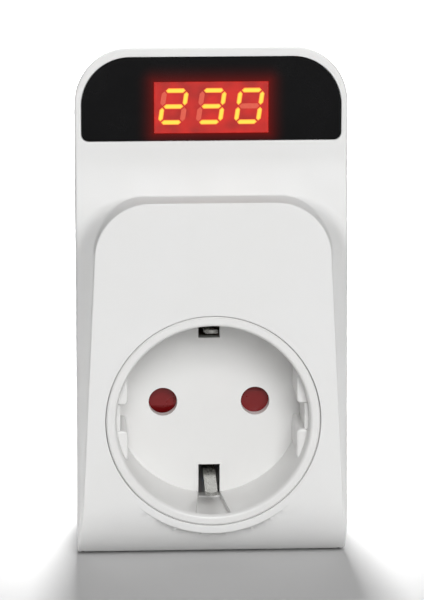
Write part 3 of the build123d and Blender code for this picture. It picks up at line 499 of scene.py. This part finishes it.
def lit_bars():
    """The display's lit bars with an inset rim, so that their light can fade at the edges."""
    bars = nodes["lit_segments"]
    mesh = bmesh.new()
    mesh.from_mesh(bars.data)
    bmesh.ops.remove_doubles(mesh, verts=mesh.verts, dist=1e-6)
    flat_angle = math.radians(1.0)
    bmesh.ops.dissolve_limit(mesh, angle_limit=flat_angle, verts=mesh.verts, edges=mesh.edges)
    fronts = [face for face in mesh.faces if face.normal.y < -0.9]
    core = mesh.loops.layers.float_color.new(CORE_LAYER)
    bmesh.ops.inset_individual(mesh, faces=fronts, thickness=LIT_RIM * MM, use_even_offset=True)
    inner = {corner for face in fronts for corner in face.verts}
    for face in mesh.faces:
        for loop in face.loops:
            level = 1.0 if loop.vert in inner else 0.0
            loop[core] = (level, level, level, 1.0)
    data = bpy.data.meshes.new("lit_bars")
    mesh.to_mesh(data)
    mesh.free()
    piece = new_piece("lit_bars", data, "segment_lit")
    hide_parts("lit_segments")
    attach(piece, "housing")


# ---------------------------------------------------------------- materials
class Look:
    """A node-based material on one Principled shader, with short calls for its usual parts."""

    def __init__(self, name, colour, roughness, metallic=0.0):
        self.material = bpy.data.materials.new(name)
        self.material.use_nodes = True
        self.nodes = self.material.node_tree.nodes
        self.links = self.material.node_tree.links
        self.shader = self.nodes["Principled BSDF"]
        self.name = name
        self.colour = colour
        self.roughness = roughness
        self.set("Base Color", (*colour, 1.0))
        self.set("Roughness", roughness)
        self.set("Metallic", metallic)
        self.place = self.nodes.new("ShaderNodeTexCoord").outputs["Object"]
        self.relief = None

    def feed(self, socket, value):
        """Gives a socket a plain value, or links it to a value made by nodes."""
        if isinstance(value, bpy.types.NodeSocket):
            self.links.new(value, socket)
        else:
            socket.default_value = value

    def set(self, name, value):
        """Feeds one of the shader's own sockets."""
        self.feed(self.shader.inputs[name], value)

    def noise(self, size, stretch=(1, 1, 1), detail=3.0):
        """Noise whose blobs are about size millimetres across, drawn out along an axis by stretch."""
        mapping = self.nodes.new("ShaderNodeMapping")
        mapping.inputs["Scale"].default_value = [1 / (size * MM * s) for s in stretch]
        self.links.new(self.place, mapping.inputs["Vector"])
        noise = self.nodes.new("ShaderNodeTexNoise")
        noise.inputs["Scale"].default_value = 1.0
        noise.inputs["Detail"].default_value = detail
        self.links.new(mapping.outputs["Vector"], noise.inputs["Vector"])
        return noise.outputs["Fac"]

    def ranged(self, value, low, high, start=0.3, end=0.7):
        """A value from start to end turned into one from low to high."""
        ramp = self.nodes.new("ShaderNodeMapRange")
        for socket, number in zip(("From Min", "From Max", "To Min", "To Max"), (start, end, low, high)):
            ramp.inputs[socket].default_value = number
        self.links.new(value, ramp.inputs["Value"])
        return ramp.outputs["Result"]

    def mixed(self, first, second, share):
        """A colour between two others, the second one where share is 1."""
        mix = self.nodes.new("ShaderNodeMix")
        mix.data_type = "RGBA"
        mix.inputs["A"].default_value = (*first, 1.0)
        mix.inputs["B"].default_value = (*second, 1.0)
        self.links.new(share, mix.inputs["Factor"])
        return mix.outputs["Result"]

    def vary_colour(self, value, other, start=0.3, end=0.7):
        """Mixes the base colour with another one where value runs from start to end."""
        share = self.ranged(value, 0, 1, start, end)
        self.set("Base Color", self.mixed(self.colour, other, share))

    def vary_roughness(self, value, spread):
        """Lets the roughness wander by spread on each side of its mean."""
        mean = self.roughness
        self.set("Roughness", self.ranged(value, mean - spread, mean + spread))

    def bump(self, value, height, strength=1.0):
        """Adds relief of that height in millimetres on top of any relief already there."""
        bump = self.nodes.new("ShaderNodeBump")
        bump.inputs["Distance"].default_value = height * MM
        bump.inputs["Strength"].default_value = strength
        self.links.new(value, bump.inputs["Height"])
        if self.relief:
            self.links.new(self.relief, bump.inputs["Normal"])
        self.relief = bump.outputs["Normal"]
        self.set("Normal", self.relief)

    def maths(self, operation, first, second=0.0):
        """One arithmetic step on a socket or number and another."""
        step = self.nodes.new("ShaderNodeMath")
        step.operation = operation
        for socket, value in zip(step.inputs, (first, second)):
            self.feed(socket, value)
        return step.outputs["Value"]

    def power(self, value, exponent):
        """A value raised to a power."""
        return self.maths("POWER", value, exponent)

    def outside_box(self, middle, half):
        """Distance in millimetres outside a rectangle that lies across the Y axis."""
        split = self.nodes.new("ShaderNodeSeparateXYZ")
        self.links.new(self.place, split.inputs["Vector"])
        squares = []
        for axis, centre, reach in (("X", middle.x, half.x), ("Z", middle.z, half.z)):
            offset = self.maths("ABSOLUTE", self.maths("SUBTRACT", split.outputs[axis], centre * MM))
            gap = self.maths("MAXIMUM", self.maths("SUBTRACT", offset, reach * MM))
            squares.append(self.power(gap, 2.0))
        return self.maths("DIVIDE", self.power(self.maths("ADD", *squares), 0.5), MM)

    def glow(self, colour, strength):
        """Makes the surface give light, of a strength that may be made by nodes."""
        self.set("Emission Color", (*colour, 1.0))
        self.set("Emission Strength", strength)


def moulded_plastic(name, colour, shade, roughness, grain=0.35, grain_height=0.004):
    """Injection-moulded plastic: a fine grain, and patches that are a little duller from handling."""
    look = Look(name, colour, roughness)
    look.vary_colour(look.noise(14.0), shade)
    look.vary_roughness(look.noise(6.0, detail=5.0), 0.05)
    look.bump(look.noise(grain), grain_height)
    look.bump(look.noise(9.0, detail=1.0), 0.02, 0.5)
    return look


def scratched_metal(name, colour, shade, roughness, along=(1, 12, 1)):
    """Bright metal with fine scratches drawn out along its sliding direction."""
    look = Look(name, colour, roughness, metallic=1.0)
    look.vary_colour(look.noise(2.5, detail=4.0), shade)
    look.vary_roughness(look.noise(0.12, stretch=along), 0.09)
    look.bump(look.noise(0.08, stretch=along), 0.0015)
    look.bump(look.noise(1.6), 0.004, 0.6)
    return look


def white_housing():
    """Satin white plastic that lets a little light in under its surface."""
    look = moulded_plastic("housing_plastic", (0.80, 0.80, 0.795), (0.79, 0.79, 0.78), 0.52)
    look.set("Subsurface Weight", 0.06)
    look.set("Subsurface Radius", (0.0012, 0.0011, 0.001))
    look.set("Subsurface Scale", 1.0)
    return look


def window_acrylic():
    """Smoked acrylic with a dark red glow painted on close to the display behind it, standing in for the
    display's light spreading into it.
    """
    look = Look("window_black", (0.0012, 0.0012, 0.0015), 0.09)
    look.vary_colour(look.noise(8.0), (0.003, 0.003, 0.0035))
    look.vary_roughness(look.noise(3.0, detail=6.0), 0.03)
    look.bump(look.noise(12.0, detail=0.0), 0.01, 0.4)
    look.set("Specular IOR Level", 0.1)
    # painted glow: the window gives dark red light that fades out with distance from the display's box
    distance = look.outside_box((led_low + led_high) / 2, (led_high - led_low) / 2)
    painted_halo = look.power(look.ranged(distance, 1.0, 0.0, 0.0, PAINTED_HALO_REACH), 3.0)
    look.glow((1.0, 0.01, 0.0), look.ranged(painted_halo, 0.0, PAINTED_HALO_STRENGTH, 0.0, 1.0))
    return look


def display_face():
    """Red filter over the display, lit unevenly by the digits behind it."""
    look = Look("display_red", (0.14, 0.004, 0.003), 0.35)
    look.vary_colour(look.noise(1.2), (0.17, 0.006, 0.004))
    look.bump(look.noise(0.2), 0.003)
    look.glow((1.0, 0.014, 0.004), look.ranged(look.noise(3.5, detail=1.0), 0.26, 0.52))
    return look


def lit_segment():
    """A lit bar: yellow in the middle, orange where it fades out at its edge."""
    look = Look("segment_lit", (0.16, 0.09, 0.01), 0.4)
    look.vary_colour(look.noise(0.4), (0.2, 0.1, 0.01))
    core = look.nodes.new("ShaderNodeAttribute")
    core.attribute_name = CORE_LAYER
    share = look.ranged(core.outputs["Fac"], 0.0, 1.0, 0.0, 0.8)
    look.set("Emission Color", look.mixed((0.8, 0.05, 0.008), (1.0, 0.7, 0.06), share))
    look.set("Emission Strength", 1.0)
    return look


def unlit_segment():
    """A dark bar, seen faintly by the light of its neighbours."""
    look = Look("segment_unlit", (0.3, 0.05, 0.03), 0.45)
    look.vary_colour(look.noise(0.4), (0.36, 0.06, 0.04))
    look.glow((1.0, 0.1, 0.045), 0.42)
    return look


def circuit_board():
    """Green solder mask over a raised pattern of tracks."""
    look = Look("circuit_board", (0.02, 0.16, 0.06), 0.35)
    look.vary_colour(look.noise(0.6, stretch=(1, 1, 4)), (0.04, 0.26, 0.11), 0.48, 0.52)
    look.bump(look.noise(0.6, stretch=(1, 1, 4)), 0.01)
    return look


def copper_winding():
    """Enamelled wire, its turns side by side."""
    look = Look("copper_winding", (0.55, 0.2, 0.08), 0.35, metallic=1.0)
    look.vary_colour(look.noise(0.5), (0.42, 0.13, 0.05))
    look.bump(look.noise(0.15, stretch=(1, 1, 12), detail=0.0), 0.04)
    return look


def moulded_resistor():
    """A resistor's dull, slightly lumpy coat."""
    look = moulded_plastic("resistor_body", (0.55, 0.44, 0.3), (0.5, 0.38, 0.25), 0.5, grain=0.2)
    look.bump(look.noise(1.0), 0.02)
    return look


ALL_LOOKS = (
    white_housing(),
    window_acrylic(),
    display_face(),
    lit_segment(),
    unlit_segment(),
    circuit_board(),
    copper_winding(),
    moulded_resistor(),
    moulded_plastic("insert_plastic", (0.80, 0.80, 0.79), (0.79, 0.785, 0.775), 0.33),
    moulded_plastic("shutter_red", (0.2, 0.005, 0.006), (0.15, 0.003, 0.004), 0.3),
    moulded_plastic("inner_plastic", (0.7, 0.68, 0.6), (0.66, 0.63, 0.55), 0.45),
    moulded_plastic("black_plastic", (0.02, 0.02, 0.02), (0.03, 0.03, 0.03), 0.45),
    moulded_plastic("relay_blue", (0.03, 0.12, 0.38), (0.02, 0.1, 0.33), 0.35),
    moulded_plastic("capacitor_yellow", (0.8, 0.5, 0.06), (0.75, 0.45, 0.05), 0.35),
    moulded_plastic("capacitor_sleeve", (0.02, 0.02, 0.05), (0.03, 0.03, 0.07), 0.25),
    moulded_plastic("varistor_blue", (0.04, 0.16, 0.45), (0.03, 0.13, 0.4), 0.28),
    scratched_metal("nickel_plated_brass", (0.5, 0.5, 0.48), (0.4, 0.4, 0.38), 0.24),
    scratched_metal("bright_steel", (0.6, 0.6, 0.6), (0.5, 0.5, 0.5), 0.28),
    scratched_metal("brass", (0.78, 0.57, 0.25), (0.66, 0.45, 0.18), 0.3),
    scratched_metal("soft_iron", (0.5, 0.5, 0.49), (0.42, 0.41, 0.4), 0.4),
)
LOOKS = {look.name: look for look in ALL_LOOKS}


def dress_nodes():
    """Gives each CAD node the look of the material slot that it came with."""
    for node in nodes.values():
        slot = node.data.materials[0].name.split(".")[0]
        node.data.materials[0] = LOOKS[slot].material


# ---------------------------------------------------------------- light, floor and camera
VIEW_ACROSS = math.radians(3.0)
VIEW_DOWN = math.radians(12.2)
VIEW_DISTANCE = 750.0
VIEW_CENTRE = Vector((-0.3, FACE_Y, 25.1))
LENS = 225.0
WORLD_STRENGTH = 0.14
FLOOR_REACH = 6000.0


def area_light(name, place, aim, size, power, spread=180.0):
    """A soft light of that width and height, pointed at aim; lengths in millimetres."""
    light = bpy.data.lights.new(name, "AREA")
    light.shape = "RECTANGLE"
    light.size, light.size_y = (measure * MM for measure in size)
    light.spread = math.radians(spread)
    light.energy = power
    lamp = bpy.data.objects.new(name, light)
    bpy.context.scene.collection.objects.link(lamp)
    lamp.location = Vector(place) * MM
    lamp.rotation_euler = (Vector(aim) - Vector(place)).to_track_quat("-Z", "Y").to_euler()


def lighting():
    """An even surround, a large soft light in front, a faint one beside, one on the floor behind."""
    world = bpy.data.worlds.new("studio")
    world.use_nodes = True
    background = world.node_tree.nodes["Background"]
    background.inputs["Color"].default_value = (1.0, 1.0, 1.0, 1.0)
    background.inputs["Strength"].default_value = WORLD_STRENGTH
    bpy.context.scene.world = world
    bpy.context.scene.view_settings.view_transform = "Standard"
    middle = (0, FACE_Y, 20)
    area_light("key_light", (60, -870, 440), middle, (420, 420), 6.5)
    area_light("edge_light", (650, -420, 120), middle, (60, 240), 0.1)
    area_light("background_light", (0, 480, 500), (0, 480, BOTTOM_Z), (50, 760), 7.6, spread=60.0)


def floor():
    """The pale floor that the object stands on."""
    mesh = bpy.data.meshes.new("floor")
    reach = FLOOR_REACH * MM
    corners = [(-reach, -reach, 0), (reach, -reach, 0), (reach, reach, 0), (-reach, reach, 0)]
    mesh.from_pydata(corners, [], [(0, 1, 2, 3)])
    sheet = bpy.data.objects.new("floor", mesh)
    sheet.location.z = BOTTOM_Z * MM
    bpy.context.scene.collection.objects.link(sheet)
    mesh.materials.append(Look("floor_white", (0.62, 0.62, 0.62), 0.8).material)


def camera():
    """Looks at the front from a little above and a little to the left."""
    level = math.cos(VIEW_DOWN)
    direction = Vector(
        (math.sin(VIEW_ACROSS) * level, math.cos(VIEW_ACROSS) * level, -math.sin(VIEW_DOWN))
    )
    lens = bpy.data.cameras.new("camera")
    lens.lens = LENS
    lens.sensor_width = 36.0
    lens.clip_start = 0.05
    lens.clip_end = 50.0
    stand = bpy.data.objects.new("camera", lens)
    stand.location = (VIEW_CENTRE - direction * VIEW_DISTANCE) * MM
    stand.rotation_euler = direction.to_track_quat("-Z", "Y").to_euler()
    bpy.context.scene.collection.objects.link(stand)
    bpy.context.scene.camera = stand


dress_nodes()
front_shell()
lit_bars()
lighting()
floor()
camera()
